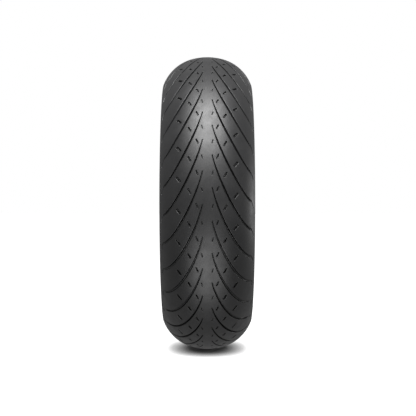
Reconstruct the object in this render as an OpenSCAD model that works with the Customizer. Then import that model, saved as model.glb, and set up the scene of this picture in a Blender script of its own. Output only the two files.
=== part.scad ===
// Radial motorcycle tyre, size 190/55-17, built up from its own layers.
// The axle is Y, +Z is up and the centre of the wheel is the origin.
// Every section is drawn as [y, r]: y across the tyre from its mid plane, r out from the axle.

/* [Size] */
// Section width, across the two tread edges
section_w = 190; // [180:1:230]
// Section height as a percentage of the section width
aspect = 55; // [50:1:66]
// Rim diameter code, in inches
rim_code = 17; // [14:0.1:21]
// Rim width between its flanges
rim_w = 152.4; // [130:0.1:158]

/* [Tread profile] */
// Radius of the middle of the crown
crown_r = 128; // [105:1:160]
// Half the width of the middle of the crown
crown_half = 35; // [28:1:42]
// Drop from the crown down to the tread edges
tread_drop = 59.5; // [49:0.5:62]
// How far short of the tread edge the belt and base stop, as an angle round the crown
wing_angle = 7; // [5:1:10]
// Half the width of the hard-wearing middle compound, along the surface
compound_half = 46; // [40:1:52]

/* [Tread pattern] */
// Number of times that the pattern repeats round the tyre
pitches = 31; // [24:1:36]
// Depth of the long grooves at the crown
groove_depth = 6; // [4:0.1:6.5]
// Depth of the long grooves where they run out at the tread edge
groove_end_depth = 2.5; // [1.5:0.1:4]
// Width of the long grooves at their inner tips
groove_tip_w = 1.6; // [1:0.1:3]
// Width of the long grooves on the shoulder
groove_w = 5.4; // [4:0.1:6.5]
// Depth of the short slots
slot_depth = 4.5; // [2:0.1:6]

/* [Layers] */
// Thickness of the outer tread compounds
cap_t = 7.5; // [7:0.1:9]
// Thickness of the tread base under them
base_t = 1.5; // [1:0.1:2.5]
// Thickness of the steel belt
belt_t = 1.6; // [1.2:0.1:2]
// Number of turns that the belt ribbon makes
belt_turns = 30; // [20:1:40]
// Gap between the turns of the belt ribbon
belt_gap = 0.4; // [0.2:0.1:1]
// Thickness of each of the two carcass plies
ply_t = 0.8; // [0.6:0.1:1]
// Thickness of the airtight inner liner
liner_t = 1.2; // [0.8:0.1:2]

/* [Bead] */
// Radius of the bead seat above the nominal rim radius
seat_rise = 2.4; // [0:0.1:4]
// Width of the bead from its toe to its outer face
bead_w = 16; // [15:0.5:20]
// Radius of the heel
heel_r = 6; // [4:0.1:7.5]
// Radius of the toe
toe_r = 1.5; // [1.3:0.1:2.5]
// Height of the rim flange above the seat
flange_h = 14; // [12:0.5:17]
// Diameter of one bead wire
wire_d = 1; // [0.8:0.05:1.2]
// Gap between bead wires
wire_gap = 0.06; // [0.04:0.01:0.15]
// Thickness of the fabric flipper round the wires
flipper_t = 0.5; // [0.4:0.1:0.8]
// Thickness of the chafer that touches the rim
chafer_t = 1.2; // [0.8:0.1:1.2]
// Rubber between the plies and the bead seat
seat_rubber = 2.4; // [2:0.1:3.5]
// Rubber between the plies and the outer face of the bead
face_rubber = 2.6; // [2.2:0.1:3.2]
// Height of the rim line above the top of the flange
rim_line_up = 3.7; // [3:0.1:6]
// How far the rim line stands outside the bead face
rim_line_out = 5.5; // [4:0.1:8]
// Height of the rim line's rib
rib_h = 0.8; // [0.4:0.1:1.2]

/* [Hidden] */
$fn = 72;

left = -1;
right = 1;
rim_r = rim_code * 25.4 / 2;
outer_r = rim_r + section_w * aspect / 100;
seat_r = rim_r + seat_rise;
bead_y = rim_w / 2;
toe_y = bead_y - bead_w;
flange_r = seat_r + flange_h;

// Small helpers on lists of points.
function unit(v) = v / norm(v);
function part(list, a, b) = [for (i = [a:b]) list[i]];
function backwards(list) = [for (i = [len(list) - 1:-1:0]) list[i]];
function mirrored(list) = [for (p = backwards(list)) [-p[0], p[1]]];
function last(list) = list[len(list) - 1];
function bezier(a, b, c, d, t) =
    a * pow(1 - t, 3) + 3 * b * t * pow(1 - t, 2) + 3 * c * t * t * (1 - t) + d * pow(t, 3);
function curve(a, b, c, d, steps) = [for (i = [0:steps]) bezier(a, b, c, d, i / steps)];
// The side of a path that it leaves on its left, which on the section is away from the cavity.
function normal_at(path, i) =
    let (v = unit(path[min(i + 1, len(path) - 1)] - path[max(i - 1, 0)])) [-v[1], v[0]];
function shifted(path, d) = [for (i = [0:len(path) - 1]) path[i] + d * normal_at(path, i)];

// Crown: two arcs that meet tangentially and end at the tread edge.
crown_angle = asin(crown_half / crown_r);
crown_centre = [0, outer_r - crown_r];
crown_join = crown_centre + crown_r * [sin(crown_angle), cos(crown_angle)];
tread_edge = [section_w / 2, outer_r - tread_drop];
to_edge = tread_edge - crown_join;
shoulder_r = -(to_edge * to_edge) / (2 * to_edge * [sin(crown_angle), cos(crown_angle)]);
shoulder_centre = crown_join - shoulder_r * [sin(crown_angle), cos(crown_angle)];
edge_angle = atan2(tread_edge[0] - shoulder_centre[0], tread_edge[1] - shoulder_centre[1]);
belt_angle = edge_angle - wing_angle;
function crown(a, depth) =
    a <= crown_angle
        ? crown_centre + (crown_r - depth) * [sin(a), cos(a)]
        : shoulder_centre + (shoulder_r - depth) * [sin(a), cos(a)];
// Distance along the surface from the mid plane, and the angle at such a distance.
crown_arc_len = crown_r * crown_angle * PI / 180;
function surface_angle(s) =
    s <= crown_arc_len ? s / crown_r * 180 / PI : crown_angle + (s - crown_arc_len) / shoulder_r * 180 / PI;
tread_half = crown_arc_len + shoulder_r * (edge_angle - crown_angle) * PI / 180;
compound_angle = surface_angle(compound_half);

crown_steps = 3;
shoulder_steps = 8;
least_step = 0.5;
even_angles = concat(
    [for (i = [0:crown_steps]) crown_angle * i / crown_steps],
    [for (i = [1:shoulder_steps]) crown_angle + (belt_angle - crown_angle) * i / shoulder_steps]
);
// Every layer has a corner where the compounds meet, so that layers which touch share all their corners.
layer_angles = concat(
    [for (a = even_angles) if (a < compound_angle - least_step) a],
    [compound_angle],
    [for (a = even_angles) if (a > compound_angle + least_step) a]
);
function crown_angles(from, to) =
    concat([from], [for (a = layer_angles) if (a > from + least_step && a < to - least_step) a], [to]);
function crown_line(depth, from, to) = [for (a = crown_angles(from, to)) crown(a, depth)];

// Bead: the wires lie round core_centre, inside the flipper and the two plies.
wire_pitch = wire_d + wire_gap;
core_r = 2 * wire_pitch + wire_d / 2 + wire_gap;
plies_t = 2 * ply_t;
wrap_r = core_r + flipper_t + plies_t;
core_centre = [bead_y - face_rubber - wrap_r, seat_r + seat_rubber + wrap_r];

// The inner face of the carcass, from the crown down the side, round the wires and up again.
layers_t = cap_t + base_t + belt_t + plies_t;
side_steps = 14;
wrap_steps = 12;
turn_steps = 10;
crown_path = crown_line(layers_t, 0, belt_angle);
side_top = last(crown_path);
side_bottom = core_centre - [wrap_r, 0];
side_reach = norm(side_top - side_bottom);
side_path = curve(
    side_top,
    side_top + 0.5 * side_reach * [cos(belt_angle), -sin(belt_angle)],
    side_bottom + [0, side_reach / 3],
    side_bottom,
    side_steps
);
wrap_path = [for (i = [0:wrap_steps]) core_centre + wrap_r * [-cos(180 * i / wrap_steps), -sin(180 * i / wrap_steps)]];
// The turned-up plies end against the outside of the plies that come down, at this step of the side.
turn_end_step = 3;
turn_end = side_path[turn_end_step] + 2 * plies_t * normal_at(side_path, turn_end_step);
turn_end_dir = unit(side_path[turn_end_step - 1] - side_path[turn_end_step + 1]);
turn_start = last(wrap_path);
turn_reach = norm(turn_end - turn_start);
turn_path = curve(
    turn_start,
    turn_start + [0, 0.45 * turn_reach],
    turn_end - 0.4 * turn_reach * turn_end_dir,
    turn_end,
    turn_steps
);
crown_n = len(crown_path) - 1;
side_n = crown_n + side_steps;
wrap_n = side_n + wrap_steps;
turn_n = wrap_n + turn_steps;
ply_path = concat(
    crown_path, part(side_path, 1, side_steps), part(wrap_path, 1, wrap_steps), part(turn_path, 1, turn_steps)
);
function ply_line(e, a, b) = part(shifted(ply_path, e), a, b);
// Steps of the path at which the shorter layers end.
outer_ply_end = turn_n - 2;
flipper_in = side_n - 3;
flipper_out = wrap_n + 3;
cushion_step = crown_n + 2;
rim_line_step = wrap_n + 5;

// Outer faces of the sidewall and the bead.
rim_line = [bead_y + rim_line_out, flange_r + rim_line_up];
side_rise = tread_edge[1] - rim_line[1];
sidewall_steps = 12;
sidewall_path = curve(
    tread_edge,
    tread_edge - [0, 0.42 * side_rise],
    rim_line + 0.36 * side_rise * [0.6, 0.8],
    rim_line,
    sidewall_steps
);
rib_step = sidewall_steps - 2;
function with_rib(path) =
    [for (i = [0:len(path) - 1]) path[i] + (i == rib_step ? rib_h : 0) * normal_at(path, i)];
face_top = [bead_y, flange_r - flange_h / 3.5];
arc_steps = 6;
flange_curve = curve(face_top, face_top + [0, 4], rim_line - [3.5, 1.8], rim_line, arc_steps);
toe_centre = [toe_y + toe_r, seat_r + toe_r];
heel_centre = [bead_y - heel_r, seat_r + heel_r];
function arc(centre, r, from, to) =
    [for (i = [0:arc_steps]) let (a = from + (to - from) * i / arc_steps) centre + r * [cos(a), sin(a)]];
// The angle at which a line from a point above runs onto the toe's arc.
function toe_from(start, r) = let (d = start - toe_centre) atan2(d[1], d[0]) + acos(r / norm(d));
// The bead's outline from the liner round the toe and the heel to the rim line, at a depth under its surface.
function bead_contour(start, depth, end) = concat(
    [start],
    arc(toe_centre, toe_r - depth, toe_from(start, toe_r - depth), 270),
    arc(heel_centre, heel_r - depth, 270, 360),
    part(shifted(flange_curve, depth), 0, arc_steps - 1),
    [end]
);
liner_end = ply_line(-liner_t, side_n, side_n)[0];
chafer_outside = bead_contour(liner_end, 0, rim_line);
rim_line_ply = ply_path[rim_line_step];
chafer_end = rim_line + chafer_t * unit(rim_line_ply - rim_line);
chafer_inside = bead_contour(ply_path[side_n], chafer_t, chafer_end);

// Pattern: a long groove is a Bezier curve in [distance across, distance round] on the crown's surface.
pitch_angle = 360 / pitches;
pitch_len = outer_r * pitch_angle * PI / 180;
// The left grooves start this share of a pitch below the wheel's front, and the right ones half a pitch on.
pattern_phase = 0.04;
groove_curve = [[9.6, 0], [17, 38], [56, 128], [100, 157]];
groove_steps = 12;
// The compounds part near this step, and each one's cutter runs a step past it.
part_step = 6;
function groove_point(k) = let (g = groove_curve) bezier(g[0], g[1], g[2], g[3], k);
// A groove is narrow at its tip and reaches its full width over this share of its curve.
widening = 0.6;
function groove_half_w(k) = (groove_tip_w + (groove_w - groove_tip_w) * min(1, k / widening)) / 2;
// The floor rises towards the tread edge.
function floor_depth(a) = groove_depth + (groove_end_depth - groove_depth) * pow(a / edge_angle, 2);
function tread_point(q) =
    let (p = crown(surface_angle(q[0]), 0), a = q[1] / outer_r * 180 / PI) [p[1] * cos(a), p[1] * sin(a), p[0]];
function groove_side(k, side) =
    let (v = unit(groove_point(min(1, k + 0.02)) - groove_point(max(0, k - 0.02))))
    tread_point(groove_point(k) + side * groove_half_w(k) * [-v[1], v[0]]);
// A blade that stands along the radius at the middle of its groove, as a mould segment's blade does.
blade_over = 3;
module groove_blade(from, to) {
    mid = groove_point((from + to) / 2 / groove_steps)[1] / outer_r * 180 / PI;
    outline = concat(
        [for (i = [from:to]) groove_side(i / groove_steps, 1)],
        [for (i = [to:-1:from]) groove_side(i / groove_steps, -1)]
    );
    low = outer_r - tread_drop - groove_depth * 2;
    rotate([0, 0, mid]) translate([low, 0, 0]) rotate([0, 90, 0])
        linear_extrude(outer_r + blade_over - low)
            polygon([for (p = outline) [-p[2], p[1] * cos(mid) - p[0] * sin(mid)]]);
}
// Short slots: distance across, length, width and lean. They lie half way between two grooves.
slots = [[10.4, 8, 1.2, 14], [20.2, 9.5, 1.8, 22], [35.8, 11, 2.4, 28], [58.7, 13, 3.2, 42]];
// The share of the groove's curve at which it is a distance across, found by halving.
function share_at(s, low = 0, high = 1, tries = 14) =
    tries == 0 ? low
        : let (mid = (low + high) / 2)
          groove_point(mid)[0] < s ? share_at(s, mid, high, tries - 1) : share_at(s, low, mid, tries - 1);
module slot(q) {
    s = q[0];
    t = groove_point(share_at(s))[1] - pitch_len / 2;
    a = surface_angle(s);
    p = crown(a, 0);
    rotate([0, 0, t / outer_r * 180 / PI]) translate([p[1], 0, p[0]]) rotate([0, 90 - a, 0]) rotate([0, 0, -q[3]])
        translate([0, 0, (blade_over - slot_depth) / 2])
            cube([q[2], q[1], blade_over + slot_depth], center = true);
}

// Half of a section belongs on one side of the mid plane.
module ring(points, side = right) {
    rotate([-90, 0, 0]) mirror([0, 0, side == left ? 1 : 0]) rotate_extrude()
        polygon([for (p = points) [p[1], p[0]]]);
}
// A band between two lines that run the same way.
function band(outside, inside) = concat(outside, backwards(inside));

// The pattern on one side, cut between two steps of the grooves, with the slots that are listed.
module pattern(side, from, to, list) {
    phase = pattern_phase + (side == left ? 0 : 0.5);
    // The floor has no corner where the compounds meet, so that no edge of it lies in their joint.
    angles = concat(even_angles, [edge_angle]);
    over = [for (a = angles) crown(a, -blade_over)];
    floors = [for (a = angles) crown(a, floor_depth(a))];
    rotate([-90, 0, 0]) mirror([0, 0, side == left ? 1 : 0]) {
        intersection() {
            for (i = [0:pitches - 1]) rotate([0, 0, (i + phase) * pitch_angle]) groove_blade(from, to);
            rotate_extrude() polygon([for (p = band(over, floors)) [p[1], p[0]]]);
        }
        for (i = [0:pitches - 1]) rotate([0, 0, (i + phase) * pitch_angle]) for (q = list) slot(q);
    }
}

module tread_centre() {
    outside = crown_line(0, 0, compound_angle);
    inside = crown_line(cap_t, 0, compound_angle);
    inner_slots = part(slots, 0, 2);
    color([0.13, 0.13, 0.13]) difference() {
        ring(band(concat(mirrored(outside), part(outside, 1, len(outside) - 1)),
            concat(mirrored(inside), part(inside, 1, len(inside) - 1))));
        pattern(left, 0, part_step + 1, inner_slots);
        pattern(right, 0, part_step + 1, inner_slots);
    }
}
module tread_shoulder(side) {
    color([0.11, 0.11, 0.11]) difference() {
        ring(band(crown_line(0, compound_angle, edge_angle), crown_line(cap_t, compound_angle, belt_angle)), side);
        pattern(side, part_step - 1, groove_steps, [slots[3]]);
    }
}
function across(line) = concat(mirrored(line), part(line, 1, len(line) - 1));
function crown_band(top, bottom) = band(across(crown_line(top, 0, belt_angle)), across(crown_line(bottom, 0, belt_angle)));
module tread_base() {
    color([0.16, 0.15, 0.14]) ring(crown_band(cap_t, cap_t + base_t));
}
// The belt is one rubber-coated ribbon of steel cords wound at no angle: a band that gaps part into its turns.
module steel_belt() {
    top = cap_t + base_t;
    over = 0.2;
    half_gap = belt_gap / 2 / shoulder_r * 180 / PI;
    function at(a, depth) = let (p = crown(abs(a), depth)) [a < 0 ? -p[0] : p[0], p[1]];
    color([0.45, 0.43, 0.4]) difference() {
        ring(band(across(crown_line(top, 0, belt_angle)), across(ply_line(plies_t, 0, crown_n))));
        for (i = [1:belt_turns - 1]) {
            a = (2 * i / belt_turns - 1) * belt_angle;
            ring([
                at(a - half_gap, top - over), at(a + half_gap, top - over),
                at(a + half_gap, top + belt_t + over), at(a - half_gap, top + belt_t + over)
            ]);
        }
    }
}
module belt_edge_cushion(side) {
    color([0.2, 0.19, 0.18])
        ring(concat([crown(belt_angle, cap_t)], backwards(ply_line(plies_t, crown_n, cushion_step))), side);
}
module carcass_ply(from, to, end) {
    ring(band(across(ply_line(to, 0, end)), across(ply_line(from, 0, end))));
}
module carcass_ply_outer() {
    color([0.55, 0.47, 0.35]) carcass_ply(ply_t, plies_t, outer_ply_end);
}
module carcass_ply_inner() {
    color([0.6, 0.52, 0.4]) carcass_ply(0, ply_t, turn_n);
}
module inner_liner() {
    color([0.1, 0.1, 0.1]) ring(band(across(ply_line(0, 0, side_n)), across(ply_line(-liner_t, 0, side_n))));
}
module sidewall(side) {
    color([0.12, 0.12, 0.12]) ring(concat(
        with_rib(sidewall_path),
        ply_line(0, rim_line_step, turn_n),
        backwards(ply_line(plies_t, cushion_step, crown_n + turn_end_step)),
        [crown(belt_angle, cap_t)]
    ), side);
}
// Nineteen wires in a hexagon.
module bead_wires(side) {
    spots = [for (i = [-2:2], j = [-2:2]) if (abs(i + j) <= 2) [i + j / 2, j * sqrt(3) / 2]];
    color([0.72, 0.6, 0.36]) rotate([-90, 0, 0]) mirror([0, 0, side == left ? 1 : 0]) rotate_extrude()
        for (p = spots) translate([core_centre[1], core_centre[0]] + wire_pitch * p) circle(d = wire_d, $fn = 10);
}
module bead_flipper(side) {
    color([0.35, 0.3, 0.22])
        ring(band(ply_line(plies_t, flipper_in, flipper_out), ply_line(plies_t + flipper_t, flipper_in, flipper_out)), side);
}
module bead_filler(side) {
    top_of_wires = [for (i = [1:arc_steps - 1])
        core_centre + core_r * [-cos(180 * i / arc_steps), sin(180 * i / arc_steps)]];
    color([0.17, 0.17, 0.18]) ring(concat(
        ply_line(plies_t, crown_n + turn_end_step, flipper_in),
        ply_line(plies_t + flipper_t, flipper_in, side_n),
        top_of_wires,
        ply_line(plies_t + flipper_t, wrap_n, flipper_out),
        ply_line(plies_t, flipper_out, outer_ply_end),
        ply_line(ply_t, outer_ply_end, turn_n)
    ), side);
}
module bead_cushion(side) {
    color([0.14, 0.14, 0.14])
        ring(concat(part(chafer_inside, 1, len(chafer_inside) - 1), backwards(ply_line(0, side_n, rim_line_step))), side);
}
module chafer(side) {
    color([0.15, 0.15, 0.15]) ring(band(chafer_outside, chafer_inside), side);
}

tread_centre();
tread_shoulder(left);  // tread_shoulder_left
tread_shoulder(right);  // tread_shoulder_right
tread_base();
steel_belt();
belt_edge_cushion(left);  // belt_edge_cushion_left
belt_edge_cushion(right);  // belt_edge_cushion_right
carcass_ply_outer();
carcass_ply_inner();
inner_liner();
sidewall(left);  // sidewall_left
sidewall(right);  // sidewall_right
bead_wires(left);  // bead_wires_left
bead_wires(right);  // bead_wires_right
bead_flipper(left);  // bead_flipper_left
bead_flipper(right);  // bead_flipper_right
bead_filler(left);  // bead_filler_left
bead_filler(right);  // bead_filler_right
bead_cushion(left);  // bead_cushion_left
bead_cushion(right);  // bead_cushion_right
chafer(left);  // chafer_left
chafer(right);  // chafer_right
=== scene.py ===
"""A 190/55-17 motorcycle tyre: its surfaces, rubber and studio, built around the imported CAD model.

Lengths inside the shape functions are millimetres, as in the CAD model, and become metres in new_mesh().
A place on the tread is (s, t): s across from the mid plane along the surface, t round the tyre at the crown.
"""
import math

import bpy
import numpy as np
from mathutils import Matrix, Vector
from mathutils.geometry import delaunay_2d_cdt


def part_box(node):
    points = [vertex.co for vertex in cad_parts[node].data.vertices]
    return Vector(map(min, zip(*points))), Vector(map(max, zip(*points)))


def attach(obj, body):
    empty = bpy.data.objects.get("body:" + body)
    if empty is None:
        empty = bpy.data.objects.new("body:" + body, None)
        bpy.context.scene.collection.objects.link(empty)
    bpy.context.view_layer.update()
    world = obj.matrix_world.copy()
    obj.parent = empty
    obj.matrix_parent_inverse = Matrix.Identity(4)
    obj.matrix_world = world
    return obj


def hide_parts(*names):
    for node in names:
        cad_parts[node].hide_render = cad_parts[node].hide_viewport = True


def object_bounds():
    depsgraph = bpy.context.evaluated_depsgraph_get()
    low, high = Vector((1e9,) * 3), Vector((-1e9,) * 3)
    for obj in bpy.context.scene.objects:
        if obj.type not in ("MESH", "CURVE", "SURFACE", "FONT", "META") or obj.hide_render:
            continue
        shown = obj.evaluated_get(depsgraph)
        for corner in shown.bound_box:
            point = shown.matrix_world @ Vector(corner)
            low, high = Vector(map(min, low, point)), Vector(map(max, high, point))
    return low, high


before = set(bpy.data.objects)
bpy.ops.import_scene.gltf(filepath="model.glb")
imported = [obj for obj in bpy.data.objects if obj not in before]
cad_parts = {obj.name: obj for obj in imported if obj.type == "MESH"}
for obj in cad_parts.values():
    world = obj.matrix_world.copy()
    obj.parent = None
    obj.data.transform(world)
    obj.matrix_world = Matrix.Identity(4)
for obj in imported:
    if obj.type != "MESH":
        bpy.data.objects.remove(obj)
CAD_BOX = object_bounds()
MM = 0.001
BODY = "root"
SIDES = {"left": -1, "right": 1}

# ---------------------------------------------------------------- sizes, as in the CAD model
OUTER_R = CAD_BOX[1].z / MM
HALF_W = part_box("tread_shoulder_right")[1].y / MM
CROWN_R = 128.0
CROWN_HALF = 35.0
TREAD_DROP = 59.5
WING_ANGLE = math.radians(7)
SPLIT_S = 46.0
PITCHES = 31
SEAT_R = 17 * 25.4 / 2 + 2.4
BEAD_Y = 152.4 / 2
BEAD_W = 16
TOE_R = 1.5
HEEL_R = 6
FLANGE_R = SEAT_R + 14
RIM_LINE = np.array([BEAD_Y + 5.5, FLANGE_R + 3.7])
SEAT_RUBBER = 2.4
FACE_RUBBER = 2.6
CAP_T = 7.5
BASE_T = 1.5
BELT_T = 1.6
PLIES_T = 2 * 0.8
LINER_T = 1.2
CHAFER_T = 1.2
FLIPPER_T = 0.5
WIRE_D = 1.0
WIRE_GAP = 0.06
# The layers from the crown's surface to the carcass's inner face.
LAYERS = CAP_T + BASE_T + BELT_T + PLIES_T
# Radius of the plies' outer face where they turn round the bead wires, and the wires' middle.
WRAP_R = 2 * (WIRE_D + WIRE_GAP) + WIRE_D / 2 + WIRE_GAP + FLIPPER_T + PLIES_T
CORE = np.array([BEAD_Y - FACE_RUBBER - WRAP_R, SEAT_R + SEAT_RUBBER + WRAP_R])

PITCH = 2 * math.pi * OUTER_R / PITCHES
# How far the pattern is turned, in pitches.
PHASE = 0.04
CROWN_ANGLE = math.asin(CROWN_HALF / CROWN_R)
CROWN_CENTRE = np.array([0.0, OUTER_R - CROWN_R])
JOIN_DIR = np.array([math.sin(CROWN_ANGLE), math.cos(CROWN_ANGLE)])
CROWN_JOIN = CROWN_CENTRE + CROWN_R * JOIN_DIR
TREAD_EDGE = np.array([HALF_W, OUTER_R - TREAD_DROP])
TO_EDGE = TREAD_EDGE - CROWN_JOIN
SHOULDER_R = -TO_EDGE.dot(TO_EDGE) / (2 * TO_EDGE.dot(JOIN_DIR))
SHOULDER_CENTRE = CROWN_JOIN - SHOULDER_R * JOIN_DIR
EDGE_ANGLE = math.atan2(*(TREAD_EDGE - SHOULDER_CENTRE))
CROWN_LEN = CROWN_R * CROWN_ANGLE
EDGE_S = CROWN_LEN + SHOULDER_R * (EDGE_ANGLE - CROWN_ANGLE)
WING_S = EDGE_S - SHOULDER_R * WING_ANGLE


def crown(s, depth):
    """[y, r] at a distance s across the tread and a depth under its surface."""
    s, depth = np.broadcast_arrays(np.asarray(s, float), np.asarray(depth, float))
    low = s <= CROWN_LEN
    a = np.where(low, s / CROWN_R, CROWN_ANGLE + (s - CROWN_LEN) / SHOULDER_R)
    r = np.where(low, CROWN_R, SHOULDER_R) - depth
    cy = np.where(low, CROWN_CENTRE[0], SHOULDER_CENTRE[0])
    cr = np.where(low, CROWN_CENTRE[1], SHOULDER_CENTRE[1])
    return np.stack([cy + r * np.sin(a), cr + r * np.cos(a)], axis=-1)


def bezier(points, k):
    a, b, c, d = (np.asarray(p, float) for p in points)
    k = np.asarray(k, float)[:, None]
    return a * (1 - k) ** 3 + 3 * b * k * (1 - k) ** 2 + 3 * c * k * k * (1 - k) + d * k ** 3


def lengths(path):
    """How far along a path each of its points is."""
    return np.r_[0, np.cumsum(np.linalg.norm(np.diff(path, axis=0), axis=1))]


def resample(points, step):
    """The same path with its points an even distance apart, about one step."""
    length = lengths(points)
    at = np.linspace(0, length[-1], max(2, int(round(length[-1] / step)) + 1))
    return np.stack([np.interp(at, length, points[:, i]) for i in range(points.shape[1])], axis=1)


def normals_of(path):
    d = np.gradient(path, axis=0)
    d /= np.linalg.norm(d, axis=1)[:, None]
    return np.stack([-d[:, 1], d[:, 0]], axis=1)


# Points round the tyre on the undersides, and on the sidewalls and chafers.
ROUND_UNDER = PITCHES * 12
ROUND_SIDE = PITCHES * 16


# ---------------------------------------------------------------- meshes
def new_mesh(name, verts, faces, normals=None, sharp=math.radians(32)):
    """A mesh object from points in millimetres. normals gives one vector for each face corner."""
    mesh = bpy.data.meshes.new(name)
    mesh.from_pydata((np.asarray(verts) * MM).tolist(), [], [list(map(int, f)) for f in faces])
    mesh.validate()
    mesh.polygons.foreach_set("use_smooth", [True] * len(mesh.polygons))
    if normals is None:
        mesh.set_sharp_from_angle(angle=sharp)
    else:
        mesh.normals_split_custom_set(normals)
    obj = bpy.data.objects.new(name, mesh)
    bpy.context.scene.collection.objects.link(obj)
    return obj


def finish_piece(obj, material, slot, *nodes):
    obj.data.materials.append(material)
    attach(obj, BODY)
    if nodes:
        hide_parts(*nodes)
    return obj


def weld(verts, faces, places=3):
    """Joins points that lie in the same place."""
    _, first, back = np.unique(np.round(verts, places), axis=0, return_index=True, return_inverse=True)
    return verts[first], back.ravel()[faces]


# ---------------------------------------------------------------- tread pattern
GROOVE_CURVE = [(9.6, 0), (17, 38), (56, 128), (98, 155)]
TAIL_CURVE = [(98, 155), (102, 157.6), (105, 163), (107.5, 171)]
GROOVE_STEP = 1.7
# Points between the two sides of a groove's or slot's round end.
CAP_POINTS = 7
SLOTS = [
    # distance across, length, width, lean in degrees, depth
    (10.4, 9.0, 1.6, 14, 2.6),
    (20.2, 11.5, 2.6, 22, 4.5),
    (35.8, 12.5, 3.6, 28, 5.0),
    (58.7, 15.0, 4.8, 42, 5.0),
]
CELL_MARGIN = 10.0
LATTICE = 32
GRID = 3.2
# What delaunay_2d_cdt() gives back, and how near two points are before it joins them.
TRIANGLES_INSIDE = 1
MERGE_GAP = 1e-7


def groove_path():
    main = bezier(GROOVE_CURVE, np.linspace(0, 1, 200))
    tail = bezier(TAIL_CURVE, np.linspace(0, 1, 60))[1:]
    return resample(np.concatenate([main, tail]), GROOVE_STEP)


def groove_half_width(s):
    x = np.clip((s - 9.6) / 50, 0, 1)
    width = 1.7 + 3.3 * (1 - (1 - x) ** 1.8)
    return (width + 1.4 * np.clip((s - 94) / 8, 0, 1)) / 2


def groove_depth(s):
    return np.interp(s, [9.6, 20, 40, 70, 94, 101, 107.5], [3.0, 6.2, 6.3, 4.6, 3.4, 1.2, 0.7])


PATH = groove_path()


def shear(s):
    """How far round the groove's middle line is, at a distance across."""
    start_slope = (GROOVE_CURVE[1][1] - GROOVE_CURVE[0][1]) / (GROOVE_CURVE[1][0] - GROOVE_CURVE[0][0])
    s = np.asarray(s, float)
    inner = (s - PATH[0, 0]) * start_slope
    return np.where(s < PATH[0, 0], inner, np.interp(s, PATH[:, 0], PATH[:, 1]))


def ribbon(path, half_w, offset):
    """A closed loop round a path, half_w + offset from it, with round ends."""
    d = np.gradient(path, axis=0)
    d /= np.linalg.norm(d, axis=1)[:, None]
    n = np.stack([-d[:, 1], d[:, 0]], axis=1)
    w = (half_w + offset)[:, None]
    sweep = np.linspace(0, math.pi, CAP_POINTS + 2)[1:-1]

    def cap(i, sign):
        turn = [math.cos(a) * n[i] * sign + math.sin(a) * d[i] * sign for a in sweep]
        return path[i] + w[i] * np.array(turn)

    return np.concatenate([path + n * w, cap(-1, 1), (path - n * w)[::-1], cap(0, -1)])


def around(values):
    """Values along a path, repeated round its loop."""
    far, near = (np.full(CAP_POINTS, values[i]) for i in (-1, 0))
    return np.concatenate([values, far, values[::-1], near])


def cut_loops(path, half_w, depth):
    """The loops of a groove or a slot from its rounded edge to its floor, as (s, t, depth) rows."""
    edge = np.minimum(0.7, 0.3 * depth)
    foot = np.minimum(np.minimum(1.2, 0.3 * depth), 0.5 * half_w)
    draft = np.minimum(0.07 * depth, 0.25 * half_w)
    loops = []
    for a in np.radians([0, 30, 60, 90]):
        loops.append((edge * (1 - math.sin(a)), edge * (1 - math.cos(a))))
    for a in np.radians([0, 45, 90]):
        loops.append((-draft - foot * (1 - math.cos(a)), depth - foot * (1 - math.sin(a))))
    return [np.column_stack([ribbon(path, half_w, o), around(d)]) for o, d in loops]


def strips(loops, base, n_path):
    """Quads between neighbouring loops and across the floor. Each has the step of the path that it is at."""
    n = len(loops[0])
    quads, steps = [], []
    where = around(np.arange(n_path)).astype(int)
    for level in range(len(loops) - 1):
        a, b = base + level * n, base + (level + 1) * n
        for i in range(n):
            j = (i + 1) % n
            quads.append((a + i, a + j, b + j, b + i))
            steps.append(min(where[i], where[j]))
    last = base + (len(loops) - 1) * n
    other = {i: 2 * n_path + CAP_POINTS - 1 - i for i in range(n_path)}
    for i in range(n_path - 1):
        quads.append((last + i, last + i + 1, last + other[i + 1], last + other[i]))
        steps.append(i)
    for first, step in ((n_path - 1, n_path - 2), (2 * n_path + CAP_POINTS - 1, 0)):
        ring = [(first + k) % n for k in range(CAP_POINTS + 2)]
        lo, hi = 0, len(ring) - 1
        while hi - lo > 2:
            quads.append((last + ring[lo], last + ring[lo + 1], last + ring[hi - 1], last + ring[hi]))
            steps.append(step)
            lo, hi = lo + 1, hi - 1
        if hi - lo == 2:
            quads.append((last + ring[lo], last + ring[lo + 1], last + ring[hi], last + ring[hi]))
            steps.append(step)
    return quads, steps


def inside(points, polygon):
    x, y = points[:, 0][:, None], points[:, 1][:, None]
    x0, y0 = polygon[:, 0], polygon[:, 1]
    x1, y1 = np.roll(x0, -1), np.roll(y0, -1)
    with np.errstate(divide="ignore", invalid="ignore"):
        crosses = ((y0 > y) != (y1 > y)) & (x < (x1 - x0) * (y - y0) / (y1 - y0) + x0)
    return crosses.sum(axis=1) % 2 == 1


def gap_to(points, line):
    a, b = line, np.roll(line, -1, axis=0)
    ab = b - a
    k = np.clip(((points[:, None] - a) * ab).sum(-1) / np.maximum((ab ** 2).sum(-1), 1e-12), 0, 1)
    return np.linalg.norm(points[:, None] - (a + k[..., None] * ab), axis=-1).min(axis=1)


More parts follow.
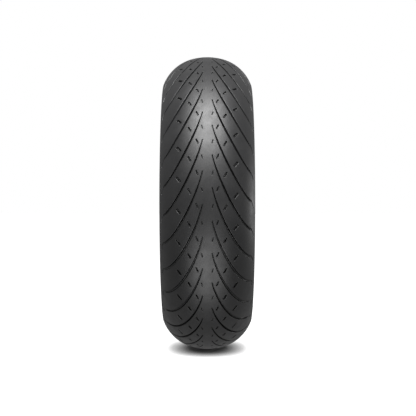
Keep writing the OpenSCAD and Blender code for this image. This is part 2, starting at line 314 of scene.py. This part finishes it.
def triangulate(outline, holes, spacing, chains):
    """Triangles that fill an outline round its holes, with even points between.

    A chain is a line that the triangles' edges keep to: the first point's number, points, and the last one's.
    """
    loops = [outline, *holes]
    lo, hi = outline.min(axis=0), outline.max(axis=0)
    rows = np.arange(lo[0] + spacing / 2, hi[0], spacing * 0.87)
    grid = []
    for i, s in enumerate(rows):
        ts = np.arange(lo[1], hi[1], spacing) + (i % 2) * spacing / 2
        grid.append(np.column_stack([np.full(len(ts), s), ts]))
    grid = np.concatenate(grid)
    grid = grid[inside(grid, outline)]
    for loop in loops:
        grid = grid[gap_to(grid, loop) > spacing * 0.55]
    for hole in holes:
        grid = grid[~inside(grid, hole)]
    for _, line, _ in chains:
        grid = grid[np.linalg.norm(grid[:, None] - line, axis=-1).min(axis=1) > spacing * 0.55]
    points = np.concatenate([*loops, *(line for _, line, _ in chains), grid])
    edges, areas, base = [], [], 0
    for loop in loops:
        numbers = list(range(base, base + len(loop)))
        x, y = loop[:, 0], loop[:, 1]
        left = (x * np.roll(y, -1) - np.roll(x, -1) * y).sum() > 0
        areas.append(numbers if left else numbers[::-1])
        base += len(loop)
    for first, line, last in chains:
        numbers = [first, *range(base, base + len(line)), last]
        edges += list(zip(numbers, numbers[1:]))
        base += len(line)
    made, _, tris, given, _, within = delaunay_2d_cdt(
        [Vector(p) for p in points], edges, areas, TRIANGLES_INSIDE, MERGE_GAP
    )
    # The triangulation rounds its points, so those that were given go back to where they were.
    made = np.array([points[g[0]] if g else tuple(p) for p, g in zip(made, given)])
    return made, np.array([t for t, w in zip(tris, within) if list(w) == [0]])


def tread_cell():
    """One pitch of one side: points (s, t, depth), faces, and each face's owner.

    The owner is 0 for the centre and 1 for the shoulder.
    """
    half_w = groove_half_width(PATH[:, 0])
    cuts = [(PATH, half_w, groove_depth(PATH[:, 0]))]
    for s, length, width, lean, depth in SLOTS:
        middle = np.array([s, shear(s) + PITCH / 2])
        along = np.array([math.sin(math.radians(lean)), -math.cos(math.radians(lean))]) * (length - width) / 2
        path = resample(np.array([middle - along, middle + along]), 1.2)
        count = len(path)
        ramp = 1 - 0.25 * np.abs(np.linspace(-1, 1, count)) ** 3
        cuts.append((path, np.full(count, width / 2), depth * ramp))
    verts, faces, owner = [], [], []
    holes, base = [], 0
    seam_step = int(np.argmin(np.abs(PATH[:, 0] - SPLIT_S)))
    for index, (path, half, depth) in enumerate(cuts):
        loops = cut_loops(path, half, depth)
        holes.append(loops[0][:, :2])
        quads, steps = strips(loops, base, len(path))
        faces += quads
        if index == 0:
            owner += [int(step >= seam_step) for step in steps]
        else:
            owner += [int(path[0, 0] > SPLIT_S)] * len(quads)
        verts.append(np.concatenate(loops))
        base += len(verts[-1])
    rows = np.unique(np.r_[np.linspace(0, SPLIT_S, 16), np.linspace(SPLIT_S, EDGE_S, 25)])
    near = np.column_stack([rows, shear(rows) - CELL_MARGIN])
    step_round = np.arange(1, LATTICE) * PITCH / LATTICE
    end = np.column_stack([np.full(LATTICE - 1, EDGE_S), near[-1, 1] + step_round])
    start = np.column_stack([np.zeros(LATTICE - 1), near[0, 1] + step_round])
    far = near + [0, PITCH]
    outline = np.concatenate([near, end, far[::-1], start[::-1]])
    # The seam between the compounds crosses the groove square on.
    left_i, right_i = seam_step, 2 * len(PATH) + CAP_POINTS - 1 - seam_step
    groove_edge = holes[0]
    seam_row = int(np.argmin(np.abs(rows - SPLIT_S)))
    count_out = len(outline)
    far_row = len(near) + len(end) + (len(far) - 1 - seam_row)
    seam = np.array([near[seam_row], groove_edge[right_i], groove_edge[left_i], far[seam_row]])
    before, after = (resample(seam[i : i + 2], 2.0)[1:-1] for i in (0, 2))
    chains = [(seam_row, before, count_out + right_i), (count_out + left_i, after, far_row)]
    made, tris = triangulate(outline, holes, GRID, chains)
    seam_round = seam[:, 1] - shear(seam[:, 0])
    seam_round[-1] = near[seam_row, 1] - shear(SPLIT_S) + PITCH
    middle = made[tris].mean(axis=1)
    seam_s = np.interp(middle[:, 1] - shear(middle[:, 0]), seam_round, seam[:, 0])
    owner += (middle[:, 0] > seam_s).astype(int).tolist()
    verts.append(np.column_stack([made, np.zeros(len(made))]))
    verts = np.concatenate(verts)
    faces = np.array(faces)
    # Triangles are counter-clockwise in (s, t), and the strips are turned to match them.
    flat = verts[:, :2]
    one, two = flat[faces[:, 2]] - flat[faces[:, 0]], flat[faces[:, 3]] - flat[faces[:, 1]]
    wrong = one[:, 0] * two[:, 1] - one[:, 1] * two[:, 0] < 0
    faces[wrong] = faces[wrong][:, ::-1]
    return verts, np.concatenate([faces, (tris + base)[:, [0, 1, 2, 2]]]), np.array(owner)


def place(points, side, turn):
    """Puts (s, t, depth) on one side of the tyre, turned by a number of pitches."""
    yr = crown(points[:, 0], points[:, 2])
    a = points[:, 1] / OUTER_R + turn * 2 * math.pi / PITCHES
    return np.column_stack([yr[:, 1] * np.cos(a), side * yr[:, 0], -yr[:, 1] * np.sin(a)])


def tread_shell():
    """The whole outer surface: points, faces, and for each face 0 for the centre, -1 and 1 for the shoulders."""
    verts, faces, owner = tread_cell()
    all_v, all_f, all_o, base = [], [], [], 0
    for side in SIDES.values():
        for i in range(PITCHES):
            turn = i + PHASE + (0 if side < 0 else 0.5)
            all_v.append(place(verts, side, turn))
            all_f.append((faces if side < 0 else faces[:, ::-1]) + base)
            all_o.append(owner * side)
            base += len(verts)
    v, f = weld(np.concatenate(all_v), np.concatenate(all_f))
    return v, f, np.concatenate(all_o)


def point_normals(v, f):
    """Area-weighted point normals, so that wide faces stay true beside narrow rounded edges."""
    a, b, c, d = (v[f[:, i]] for i in range(4))
    cross = np.cross(c - a, d - b)
    normals = np.zeros_like(v)
    for i in range(4):
        np.add.at(normals, f[:, i], cross)
    return normals / np.maximum(np.linalg.norm(normals, axis=1), 1e-12)[:, None]


def tidy_faces(f):
    """Faces as lists, with a repeated corner of a triangle left out."""
    out = []
    for q in f.tolist():
        kept = [p for i, p in enumerate(q) if p != q[i - 1]]
        out.append(kept)
    return out


def ring_points(s, depth, side, count):
    """A ring round the tyre at a distance across and a depth."""
    t = np.arange(count) / count * PITCHES * PITCH
    return place(np.column_stack([np.full(count, s), t, np.full(count, depth)]), side, 0)


def angle_of(v):
    return np.mod(np.arctan2(-v[:, 2], v[:, 0]), 2 * math.pi)


def in_order(v, ring):
    """A ring of points from the least angle on, in the direction that the angle grows, and the angles."""
    ring = np.roll(ring, -int(np.argmin(angle_of(v[ring]))))
    angle = np.unwrap(angle_of(v[ring]))
    if angle[-1] < angle[0]:
        ring = np.roll(ring[::-1], 1)
        angle = np.unwrap(angle_of(v[ring]))
    return ring, np.r_[angle, angle[0] + 2 * math.pi]


def bridge(v, a, b):
    """Triangles between two rings of points."""
    (a, angle_a), (b, angle_b) = in_order(v, a), in_order(v, b)
    i = j = 0
    out = []
    while i < len(a) or j < len(b):
        if j >= len(b) or (i < len(a) and angle_a[i + 1] <= angle_b[j + 1]):
            out.append((a[i % len(a)], a[(i + 1) % len(a)], b[j % len(b)], b[j % len(b)]))
            i += 1
        else:
            out.append((a[i % len(a)], b[(j + 1) % len(b)], b[j % len(b)], b[j % len(b)]))
            j += 1
    return np.array(out)


def facing(v, f, wanted):
    """The same faces, all turned over if most of them face against the wanted direction."""
    cross = np.cross(v[f[:, 2]] - v[f[:, 0]], v[f[:, 3]] - v[f[:, 1]])
    return f if (cross * wanted).sum() > 0 else f[:, ::-1]


CHAMBER_R = OUTER_R - CROWN_R + 60


def outwards(v):
    """Away from the middle of the tyre's air chamber."""
    radial = np.column_stack([v[:, 0], np.zeros(len(v)), v[:, 2]])
    radial /= np.linalg.norm(radial, axis=1)[:, None]
    return v - radial * CHAMBER_R


def rims(f):
    """The loops of points round a surface's open edges, each in the order in which its faces use them."""
    edges = [(p, r) for q in tidy_faces(f) for p, r in zip(q, q[1:] + q[:1])]
    known = set(edges)
    after = {p: r for p, r in edges if (r, p) not in known}
    loops = []
    while after:
        loop = [min(after)]
        while after[loop[-1]] != loop[0]:
            loop.append(after.pop(loop[-1]))
        del after[loop[-1]]
        loops.append(np.array(loop))
    return loops


def closed_tread_piece(name, shell_v, shell_f, shell_n, rings, material, slot, *nodes):
    """A tread compound as a solid: its part of the shell, its cut faces and its underside.

    rings are the distances across at which its underside has a ring of points.
    """
    used, top = np.unique(shell_f, return_inverse=True)
    top = top.reshape(shell_f.shape)
    v = shell_v[used]
    normals = shell_n[used]
    loops = []
    hidden = []
    for rim in rims(top):
        middle = v[rim, 1].mean()
        side = math.copysign(1, middle)
        if abs(middle) > HALF_W - 0.5:
            loops.append((side * EDGE_S, rim))
            continue
        r = np.hypot(v[rim, 0], v[rim, 2])
        a = np.arctan2(np.abs(v[rim, 1]) - SHOULDER_CENTRE[0], r - SHOULDER_CENTRE[1])
        s = CROWN_LEN + (a - CROWN_ANGLE) * SHOULDER_R
        low = place(np.column_stack([s, angle_of(v[rim]) * OUTER_R, np.full(len(s), CAP_T)]), side, 0)
        low_i = np.arange(len(v), len(v) + len(low))
        v = np.concatenate([v, low])
        hidden.append(np.column_stack([np.roll(rim, -1), rim, low_i, np.roll(low_i, -1)]))
        loops.append((side * SPLIT_S, low_i))
    for s in rings:
        base = len(v)
        v = np.concatenate([v, ring_points(abs(s), CAP_T, math.copysign(1, s), ROUND_UNDER)])
        loops.append((s, np.arange(base, len(v))))
    loops.sort(key=lambda loop: loop[0])
    bands = np.concatenate([bridge(v, one[1], two[1]) for one, two in zip(loops, loops[1:])])
    hidden.append(facing(v, bands, -outwards(v[bands].mean(axis=1))))
    hidden = np.concatenate(hidden)
    faces = np.concatenate([top, hidden])
    cross = np.cross(v[faces[:, 2]] - v[faces[:, 0]], v[faces[:, 3]] - v[faces[:, 1]])
    flat = cross / np.maximum(np.linalg.norm(cross, axis=1), 1e-12)[:, None]
    corners = np.repeat(flat[:, None, :], 4, axis=1)
    corners[: len(top)] = normals[top]
    kept = faces != np.roll(faces, 1, axis=1)
    obj = new_mesh(name, v, tidy_faces(faces), corners[kept].tolist())
    return finish_piece(obj, material, slot, *nodes)


# ---------------------------------------------------------------- the section under the tread, as in the CAD model
def inner_path(steps):
    """The carcass's inner face from the middle of the crown to the bead."""
    s = np.linspace(0, WING_S, steps)
    top = crown(s, LAYERS)
    a = EDGE_ANGLE - WING_ANGLE
    bottom = CORE - [WRAP_R, 0]
    reach = np.linalg.norm(top[-1] - bottom)
    pull = top[-1] + 0.5 * reach * np.array([math.cos(a), -math.sin(a)])
    side = bezier([top[-1], pull, bottom + [0, reach / 3], bottom], np.linspace(0, 1, steps))
    return np.concatenate([top, side[1:]])


def turned_up_path():
    """The outer face of the turned-up plies, from beside the wires to where they end on the side."""
    path = inner_path(15)
    side = path[14:]
    n = normals_of(path)[14:]
    end = side[3] + 2 * PLIES_T * n[3]
    back = side[2] - side[4]
    back = back / np.linalg.norm(back)
    start = CORE + [WRAP_R, 0]
    reach = np.linalg.norm(end - start)
    turn = bezier([start, start + [0, 0.45 * reach], end - 0.4 * reach * back, end], np.linspace(0, 1, 11))
    return turn, side + n * PLIES_T


def bumps(along, ridges):
    """Heights along a profile: each ridge is (place, half width, height) with a rounded top."""
    height = np.zeros(len(along))
    for place_at, half, top in ridges:
        x = np.clip(np.abs(along - place_at) / half, 0, 1)
        height += top * (1 - x ** 2) ** 2
    return height


def revolve(section, count, side):
    """A closed outline in [y, r], turned round the axle."""
    section = np.asarray(section)
    a = np.arange(count) * 2 * math.pi / count
    y = np.broadcast_to(side * section[:, 0], (count, len(section)))
    v = np.stack([np.outer(np.cos(a), section[:, 1]), y, -np.outer(np.sin(a), section[:, 1])], axis=-1)
    n = len(section)
    i = np.arange(count)[:, None] * n
    k = np.arange(n)[None, :]
    j = ((np.arange(count) + 1) % count)[:, None] * n
    k2 = (k + 1) % n
    f = np.stack([i + k, i + k2, j + k2, j + k], axis=-1).reshape(-1, 4)
    y0, r0 = section[:, 0], section[:, 1]
    area = (y0 * np.roll(r0, -1) - np.roll(y0, -1) * r0).sum() * side
    return v.reshape(-1, 3), f if area > 0 else f[:, ::-1]


def join(parts):
    """Several (points, faces) pairs as one."""
    v, f, base = [], [], 0
    for points, faces in parts:
        v.append(points)
        f += [[p + base for p in q] for q in (faces.tolist() if isinstance(faces, np.ndarray) else faces)]
        base += len(points)
    return np.concatenate(v), f


class Skin:
    """A profile in [y, r] that details are raised on, turned round the axle on one side."""

    def __init__(self, path, side):
        self.path, self.side = path, side
        self.length = lengths(path)
        self.normal = normals_of(path)

    def at(self, along, angle, height):
        """Points at a length down the profile, an angle round and a height off the surface."""
        along, angle, height = np.broadcast_arrays(along, angle, height)
        p = np.stack([np.interp(along, self.length, self.path[:, i]) for i in (0, 1)], axis=-1)
        n = np.stack([np.interp(along, self.length, self.normal[:, i]) for i in (0, 1)], axis=-1)
        q = p + n * height[..., None]
        return np.stack([q[..., 1] * np.cos(angle), self.side * q[..., 0], -q[..., 1] * np.sin(angle)], axis=-1)

    def rib(self, start, end, width, height, steps=6, sink=0.35):
        """A raised rib from one (length, angle) to another, rounded on top and closed below."""
        k = np.linspace(0, 1, steps)
        along = start[0] + (end[0] - start[0]) * k
        angle = start[1] + (end[1] - start[1]) * k
        r = float(np.interp(along.mean(), self.length, self.path[:, 1]))
        d = np.array([end[0] - start[0], (end[1] - start[1]) * r])
        d /= np.linalg.norm(d)
        across = np.array([-d[1], d[0]]) * width / 2
        taper = np.clip(np.minimum(k, 1 - k) * steps, 0.25, 1)
        rows = []
        shape = [(-1, -sink), (-0.72, height * 0.72), (-0.25, height)]
        shape += [(-c, h) for c, h in shape[::-1]]
        for c, h in shape:
            level = np.where(h > 0, h * taper, h)
            rows.append(self.at(along + c * across[0], angle + c * across[1] / r, level))
        v = np.stack(rows, axis=1).reshape(-1, 3)
        n = len(rows)
        f = []
        for i in range(steps - 1):
            for j in range(n):
                f.append([i * n + j, i * n + (j + 1) % n, (i + 1) * n + (j + 1) % n, (i + 1) * n + j])
        f.append(list(range(n))[::-1])
        f.append([(steps - 1) * n + j for j in range(n)])
        centre = v.mean(axis=0)
        volume = 0.0
        for q in f:
            a = v[q[0]] - centre
            for b, c in zip(q[1:], q[2:]):
                volume += np.dot(a, np.cross(v[b] - centre, v[c] - centre))
        if volume < 0:
            f = [q[::-1] for q in f]
        return v, f


PANEL_COUNT = 10
RIBS_A_PANEL = 34


def sidewall_profile():
    """The sidewall's outer face, from the tread edge down to the rim line."""
    rise = TREAD_EDGE[1] - RIM_LINE[1]
    out = RIM_LINE + 0.36 * rise * np.array([0.6, 0.8])
    curve = bezier([TREAD_EDGE, TREAD_EDGE - [0, 0.42 * rise], out, RIM_LINE], np.linspace(0, 1, 300))
    return resample(curve, 0.27)


def sidewall(name, side, material):
    """The sidewall rubber, with raised rings, fans of fine ribs and plain panels."""
    outer = sidewall_profile()
    skin = Skin(outer, side)
    total = skin.length[-1]
    ridges = [(2.2, 0.9, 0.35), (4.6, 0.55, 0.25)]
    ridges += [(total - up, half, top) for up, half, top in ((4.8, 1.3, 0.8), (8.2, 0.6, 0.3), (1.4, 0.7, 0.3))]
    raised = outer + skin.normal * bumps(skin.length, ridges)[:, None]
    turn, side_line = turned_up_path()
    inner = np.concatenate([turn[5:], side_line[3:1:-1]])
    section = np.concatenate([raised, inner, [crown(WING_S, CAP_T)]])
    parts = [revolve(section, ROUND_SIDE, side)]
    low, high = 6.6, total - 10.2
    panel = 2 * math.pi / PANEL_COUNT
    for i in range(PANEL_COUNT):
        start = i * panel
        for edge in (low, high):
            ends = [(edge, start + share * panel) for share in (0.04, 0.96)]
            parts.append(skin.rib(*ends, 0.5, 0.28, steps=40))
        for k in range(RIBS_A_PANEL):
            a = start + panel * (0.08 + 0.42 * k / (RIBS_A_PANEL - 1))
            parts.append(skin.rib((low + 0.9, a), (high - 0.9, a + 0.05 * panel), 0.62, 0.3))
    # Wear marks at the tread edge, each three bars side by side.
    for i in range(6):
        a = (i + 0.5) * math.pi / 3
        for b in (-1, 0, 1):
            at = a + b * 0.004
            parts.append(skin.rib((1.2 + abs(b) * 0.5, at), (5.4 - abs(b) * 2.2, at), 1.15, 0.4))
    # Arrows that show which way the tyre turns, on two of the plain panels.
    middle = (low + high) / 2
    for i in range(2):
        a = i * math.pi + panel * 0.75
        parts.append(skin.rib((middle, a - 0.045), (middle, a + 0.03), 2.4, 0.4, steps=12))
        for barb in (-4.2, 4.2):
            parts.append(skin.rib((middle + barb, a + 0.022), (middle, a + 0.05), 2.2, 0.4))
    return finish_piece(new_mesh(name, *join(parts)), material, "sidewall_rubber", name.replace("_looks", ""))


def chafer(name, side, material):
    """The bead's outer layer, from the liner round the toe and heel to the rim line, with its moulded rings."""
    path = inner_path(15)
    n = normals_of(path)
    liner_end, ply_end = path[-1] - LINER_T * n[-1], path[-1]
    toe = np.array([BEAD_Y - BEAD_W + TOE_R, SEAT_R + TOE_R])
    heel = np.array([BEAD_Y - HEEL_R, SEAT_R + HEEL_R])
    face_top = np.array([BEAD_Y, FLANGE_R - 4])
    flange = bezier([face_top, face_top + [0, 4], RIM_LINE - [3.5, 1.8], RIM_LINE], np.linspace(0, 1, 40))

    def arc(centre, r, start, end, count=14):
        a = np.radians(np.linspace(start, end, count))
        return centre + r * np.stack([np.cos(a), np.sin(a)], axis=1)

    def contour(start, depth, end):
        d = start - toe
        r = TOE_R - depth
        first = math.degrees(math.atan2(d[1], d[0]) + math.acos(r / np.linalg.norm(d)))
        inset = flange + normals_of(flange) * depth
        corners = [arc(toe, r, first, 270), arc(heel, HEEL_R - depth, 270, 360)]
        return np.concatenate([[start], *corners, inset[:-1], [end]])

    outside = contour(liner_end, 0, RIM_LINE)
    length = lengths(outside)
    total = length[-1]
    ridges = [(total - up, 0.5, 0.3) for up in (3.0, 5.2, 7.4)]
    fine = np.unique(np.r_[np.linspace(0, total, 90), total - np.linspace(2, 8.5, 48)])
    smooth = np.stack([np.interp(fine, length, outside[:, i]) for i in (0, 1)], axis=1)
    raised = smooth - normals_of(smooth) * bumps(fine, ridges)[:, None]
    turn, _ = turned_up_path()
    towards = turn[5] - RIM_LINE
    end = RIM_LINE + CHAFER_T * towards / np.linalg.norm(towards)
    inside_line = contour(ply_end, CHAFER_T, end)
    section = np.concatenate([raised, inside_line[::-1]])
    v, f = revolve(section, ROUND_SIDE, side)
    return finish_piece(new_mesh(name, v, f.tolist()), material, "chafer_fabric", name.replace("_looks", ""))


VENT_LINES = 120


def liner(name, material):
    """The airtight lining, with the fine lines that the curing bladder leaves."""
    half = resample(inner_path(60), 3.2)
    face = half - normals_of(half) * LINER_T
    across = np.concatenate([half[::-1] * [-1, 1], half[1:]])
    under = np.concatenate([face[::-1] * [-1, 1], face[1:]])
    parts = [revolve(np.concatenate([across, under[::-1]]), ROUND_UNDER, 1)]
    skin = Skin(under[::-1], 1)
    total = skin.length[-1]
    for i in range(VENT_LINES):
        a = i * 2 * math.pi / VENT_LINES
        parts.append(skin.rib((3, a), (total - 3, a + 0.05), 0.7, 0.25, steps=44, sink=0.2))
    return finish_piece(new_mesh(name, *join(parts)), material, "liner_rubber", "inner_liner")


# ---------------------------------------------------------------- materials
class Nodes:
    """A small helper that builds a node tree in order."""

    def __init__(self, name):
        self.material = bpy.data.materials.new(name)
        self.material.use_nodes = True
        self.tree = self.material.node_tree
        self.tree.nodes.clear()
        self.out = self.add("ShaderNodeOutputMaterial")
        self.shader = self.add("ShaderNodeBsdfPrincipled")
        self.link(self.shader, "BSDF", self.out, "Surface")
        self.place = self.add("ShaderNodeTexCoord")

    def add(self, kind, **settings):
        node = self.tree.nodes.new(kind)
        for key, value in settings.items():
            if key in node.inputs:
                node.inputs[key].default_value = value
            else:
                setattr(node, key, value)
        return node

    def link(self, a, out, b, into):
        self.tree.links.new(a.outputs[out], b.inputs[into])

    def noise(self, scale, detail=3.0, rough=0.55):
        node = self.add("ShaderNodeTexNoise")
        node.inputs["Scale"].default_value = scale
        node.inputs["Detail"].default_value = detail
        node.inputs["Roughness"].default_value = rough
        self.link(self.place, "Object", node, "Vector")
        return node

    def spread(self, source, low, high, from_low=0.3, from_high=0.7):
        node = self.add("ShaderNodeMapRange")
        node.inputs["From Min"].default_value = from_low
        node.inputs["From Max"].default_value = from_high
        node.inputs["To Min"].default_value = low
        node.inputs["To Max"].default_value = high
        self.link(source, 0, node, "Value")
        return node

    def ramp(self, source, colours):
        node = self.add("ShaderNodeValToRGB")
        ramp = node.color_ramp
        while len(ramp.elements) < len(colours):
            ramp.elements.new(0.5)
        for element, (at, colour) in zip(ramp.elements, colours):
            element.position = at
            element.color = (*colour, 1)
        self.link(source, 0, node, 0)
        return node

    def bump(self, source, distance, strength=1.0, before=None):
        node = self.add("ShaderNodeBump")
        node.inputs["Distance"].default_value = distance
        node.inputs["Strength"].default_value = strength
        self.link(source, 0, node, "Height")
        if before:
            self.link(before, "Normal", node, "Normal")
        return node


def rubber(name, dark, light, rough, grain=1500.0, grain_height=0.00003, specular=0.5):
    """Moulded rubber: mottled black, a fine grain, and roughness that changes with handling."""
    n = Nodes(name)
    cloud = n.noise(26.0, 4.0)
    colour = n.ramp(cloud, [(0.32, dark), (0.68, light)])
    n.link(colour, "Color", n.shader, "Base Color")
    smear = n.noise(60.0, 5.0, 0.6)
    roughness = n.spread(smear, rough - 0.05, rough + 0.06)
    n.link(roughness, 0, n.shader, "Roughness")
    wave = n.bump(n.noise(220.0, 2.0), 0.00006)
    fine = n.bump(n.noise(grain, 2.0), grain_height, before=wave)
    n.link(fine, "Normal", n.shader, "Normal")
    n.shader.inputs["Specular IOR Level"].default_value = specular
    return n.material


def cords(name, rubber_colour, cord_colour, across, metallic=0.0):
    """Cords under a thin coat of rubber. across is the space from one cord to the next, in metres."""
    n = Nodes(name)
    split = n.add("ShaderNodeSeparateXYZ")
    n.link(n.place, "Object", split, "Vector")
    angle = n.add("ShaderNodeMath", operation="ARCTAN2")
    n.link(split, "Z", angle, 0)
    n.link(split, "X", angle, 1)
    count = n.add("ShaderNodeMath", operation="MULTIPLY")
    count.inputs[1].default_value = 2 * math.pi * 0.3 / across
    n.link(angle, 0, count, 0)
    wave = n.add("ShaderNodeMath", operation="SINE")
    n.link(count, 0, wave, 0)
    colour = n.ramp(n.spread(wave, 0, 1, -1, 1), [(0.3, rubber_colour), (0.7, cord_colour)])
    n.link(colour, "Color", n.shader, "Base Color")
    n.link(n.spread(n.noise(400.0), 0.55, 0.75), 0, n.shader, "Roughness")
    n.link(n.bump(wave, 0.0001), "Normal", n.shader, "Normal")
    n.shader.inputs["Metallic"].default_value = metallic
    return n.material


def wire(name, colour):
    """Drawn, plated wire with fine draw marks."""
    n = Nodes(name)
    tone = n.ramp(n.noise(900.0, 3.0), [(0.3, [c * 0.75 for c in colour]), (0.7, colour)])
    n.link(tone, "Color", n.shader, "Base Color")
    n.link(n.spread(n.noise(2200.0, 2.0), 0.25, 0.42), 0, n.shader, "Roughness")
    n.link(n.bump(n.noise(3000.0, 2.0), 0.00001), "Normal", n.shader, "Normal")
    n.shader.inputs["Metallic"].default_value = 1.0
    return n.material


TREAD = rubber("tread_rubber", (0.0095, 0.0095, 0.01), (0.0135, 0.0135, 0.014), 0.46)
SHOULDER = rubber("shoulder_rubber", (0.0095, 0.0095, 0.01), (0.0135, 0.0135, 0.014), 0.46)
SIDEWALL = rubber("sidewall_rubber", (0.014, 0.014, 0.015), (0.021, 0.021, 0.022), 0.48, grain=2200.0)
LINER = rubber("liner_rubber", (0.012, 0.012, 0.013), (0.02, 0.02, 0.021), 0.38, grain=900.0)
CHAFER = rubber("chafer_rubber", (0.013, 0.013, 0.014), (0.022, 0.022, 0.022), 0.44, grain=2600.0)
HIDDEN_LOOKS = {
    "tread_base": rubber("base_rubber", (0.03, 0.028, 0.026), (0.042, 0.04, 0.037), 0.6),
    "belt_edge_cushion_left": rubber("cushion_rubber", (0.03, 0.029, 0.028), (0.045, 0.043, 0.04), 0.6),
    "bead_filler_left": rubber("filler_rubber", (0.026, 0.026, 0.028), (0.036, 0.036, 0.038), 0.5),
    "bead_cushion_left": rubber("bead_rubber", (0.02, 0.02, 0.02), (0.03, 0.03, 0.03), 0.55),
    "steel_belt": wire("belt_steel", (0.5, 0.46, 0.38)),
    "bead_wires_left": wire("bead_wire", (0.62, 0.47, 0.27)),
    "carcass_ply_outer": cords("ply_cords", (0.08, 0.06, 0.04), (0.42, 0.33, 0.2), 0.0012),
    "carcass_ply_inner": cords("ply_cords_inner", (0.08, 0.06, 0.04), (0.45, 0.36, 0.22), 0.0012),
    "bead_flipper_left": cords("flipper_cords", (0.05, 0.045, 0.04), (0.24, 0.2, 0.14), 0.0008),
}

# ---------------------------------------------------------------- the tyre
shell_v, shell_f, shell_owner = tread_shell()
shell_n = point_normals(shell_v, shell_f)
closed_tread_piece(
    "tread_centre_looks", shell_v, shell_f[shell_owner == 0], shell_n,
    range(-36, 37, 12), TREAD, "tread_compound", "tread_centre",
)
for word, side in SIDES.items():
    closed_tread_piece(
        f"tread_shoulder_{word}_looks", shell_v, shell_f[shell_owner == side], shell_n,
        [side * s for s in (58, 70, 82, 95, WING_S)], SHOULDER, "shoulder_compound", f"tread_shoulder_{word}",
    )
    sidewall(f"sidewall_{word}_looks", side, SIDEWALL)
    chafer(f"chafer_{word}_looks", side, CHAFER)
liner("inner_liner_looks", LINER)
for node, look in HIDDEN_LOOKS.items():
    for name in sorted({node, node.replace("_left", "_right")}):
        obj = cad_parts[name]
        obj.data.materials.clear()
        obj.data.materials.append(look)

# ---------------------------------------------------------------- studio
scene = bpy.context.scene
scene.view_settings.view_transform = "Standard"


def area_light(name, position, target, size, power):
    data = bpy.data.lights.new(name, "AREA")
    data.shape = "RECTANGLE"
    data.size, data.size_y = size
    data.energy = power
    obj = bpy.data.objects.new(name, data)
    obj.location = position
    obj.rotation_euler = (Vector(target) - Vector(position)).to_track_quat("-Z", "Y").to_euler()
    scene.collection.objects.link(obj)


def studio_world(ambient, bounce, bounce_from):
    """Even light, brighter from one direction below as off a table, in front of a plain white backdrop."""
    world = bpy.data.worlds.new("studio")
    world.use_nodes = True
    tree = world.node_tree
    tree.nodes.clear()
    out = tree.nodes.new("ShaderNodeOutputWorld")
    place_at = tree.nodes.new("ShaderNodeTexCoord")
    facing_it = tree.nodes.new("ShaderNodeVectorMath")
    facing_it.operation = "DOT_PRODUCT"
    facing_it.inputs[1].default_value = Vector(bounce_from).normalized()
    tree.links.new(place_at.outputs["Generated"], facing_it.inputs[0])
    fade = tree.nodes.new("ShaderNodeMapRange")
    fade.interpolation_type = "SMOOTHSTEP"
    for key, value in (("From Min", 0.84), ("From Max", 0.98), ("To Min", ambient), ("To Max", bounce)):
        fade.inputs[key].default_value = value
    tree.links.new(facing_it.outputs["Value"], fade.inputs["Value"])
    light = tree.nodes.new("ShaderNodeBackground")
    light.inputs["Color"].default_value = (1, 1, 1, 1)
    tree.links.new(fade.outputs[0], light.inputs["Strength"])
    plain = tree.nodes.new("ShaderNodeBackground")
    plain.inputs["Color"].default_value = (1, 1, 1, 1)
    plain.inputs["Strength"].default_value = 1.0
    mix = tree.nodes.new("ShaderNodeMixShader")
    path = tree.nodes.new("ShaderNodeLightPath")
    tree.links.new(path.outputs["Is Camera Ray"], mix.inputs[0])
    tree.links.new(light.outputs[0], mix.inputs[1])
    tree.links.new(plain.outputs[0], mix.inputs[2])
    tree.links.new(mix.outputs[0], out.inputs["Surface"])
    scene.world = world


def floor_piece():
    """A wide white floor under the tyre that glows white, with the tyre's contact shadow painted into its glow by
    ambient occlusion.
    """
    half = 30.0
    z = CAD_BOX[0].z
    mesh = bpy.data.meshes.new("floor")
    mesh.from_pydata([(-half, -half, z), (half, -half, z), (half, half, z), (-half, half, z)], [], [(0, 1, 2, 3)])
    obj = bpy.data.objects.new("floor", mesh)
    scene.collection.objects.link(obj)
    n = Nodes("floor_white")
    tone = n.ramp(n.noise(3.0), [(0.3, [0.33] * 3), (0.7, [0.35] * 3)])
    n.link(tone, "Color", n.shader, "Base Color")
    n.shader.inputs["Roughness"].default_value = 0.9
    n.shader.inputs["Specular IOR Level"].default_value = 0.1
    # Painted shadow: the floor glows white, and ambient occlusion fades its glow to dark close to where the tyre
    # touches it.
    contact_shadow_ao = n.add("ShaderNodeAmbientOcclusion")
    contact_shadow_ao.inputs["Distance"].default_value = 0.05
    contact_shadow_ao.samples = 16
    painted_shadow_glow = n.spread(contact_shadow_ao, 0.0, 1.0, 0.15, 0.70)
    n.shader.inputs["Emission Color"].default_value = (1, 1, 1, 1)
    n.link(painted_shadow_glow, 0, n.shader, "Emission Strength")
    mesh.materials.append(n.material)
    # Besides its painted shadow, the floor takes the lamps' shadow of the tyre, and the world's own bounce stands
    # for the light off it.
    obj.visible_glossy = False
    obj.visible_diffuse = False


studio_world(ambient=0.38, bounce=5.2, bounce_from=(0.66, 0, -0.75))
area_light("key", (1.3, 0.0, 2.15), (0.2, 0, 0.18), (1.7, 1.8), 165)
area_light("edge", (-0.85, 1.95, 0.0), (0, 0.09, 0), (0.4, 0.4), 5)
floor_piece()

# The camera's distance, in the tyre's outer radii.
CAMERA_AWAY = 7.75
camera_data = bpy.data.cameras.new("camera")
camera_data.lens = 97
camera_data.sensor_width = 36
camera_data.shift_x = 0.0017
camera_data.shift_y = -0.012
camera = bpy.data.objects.new("camera", camera_data)
camera.location = (CAMERA_AWAY * OUTER_R * MM, 0, 0)
camera.rotation_euler = (math.radians(90), 0, math.radians(90))
scene.collection.objects.link(camera)
scene.camera = camera

bpy.context.view_layer.update()
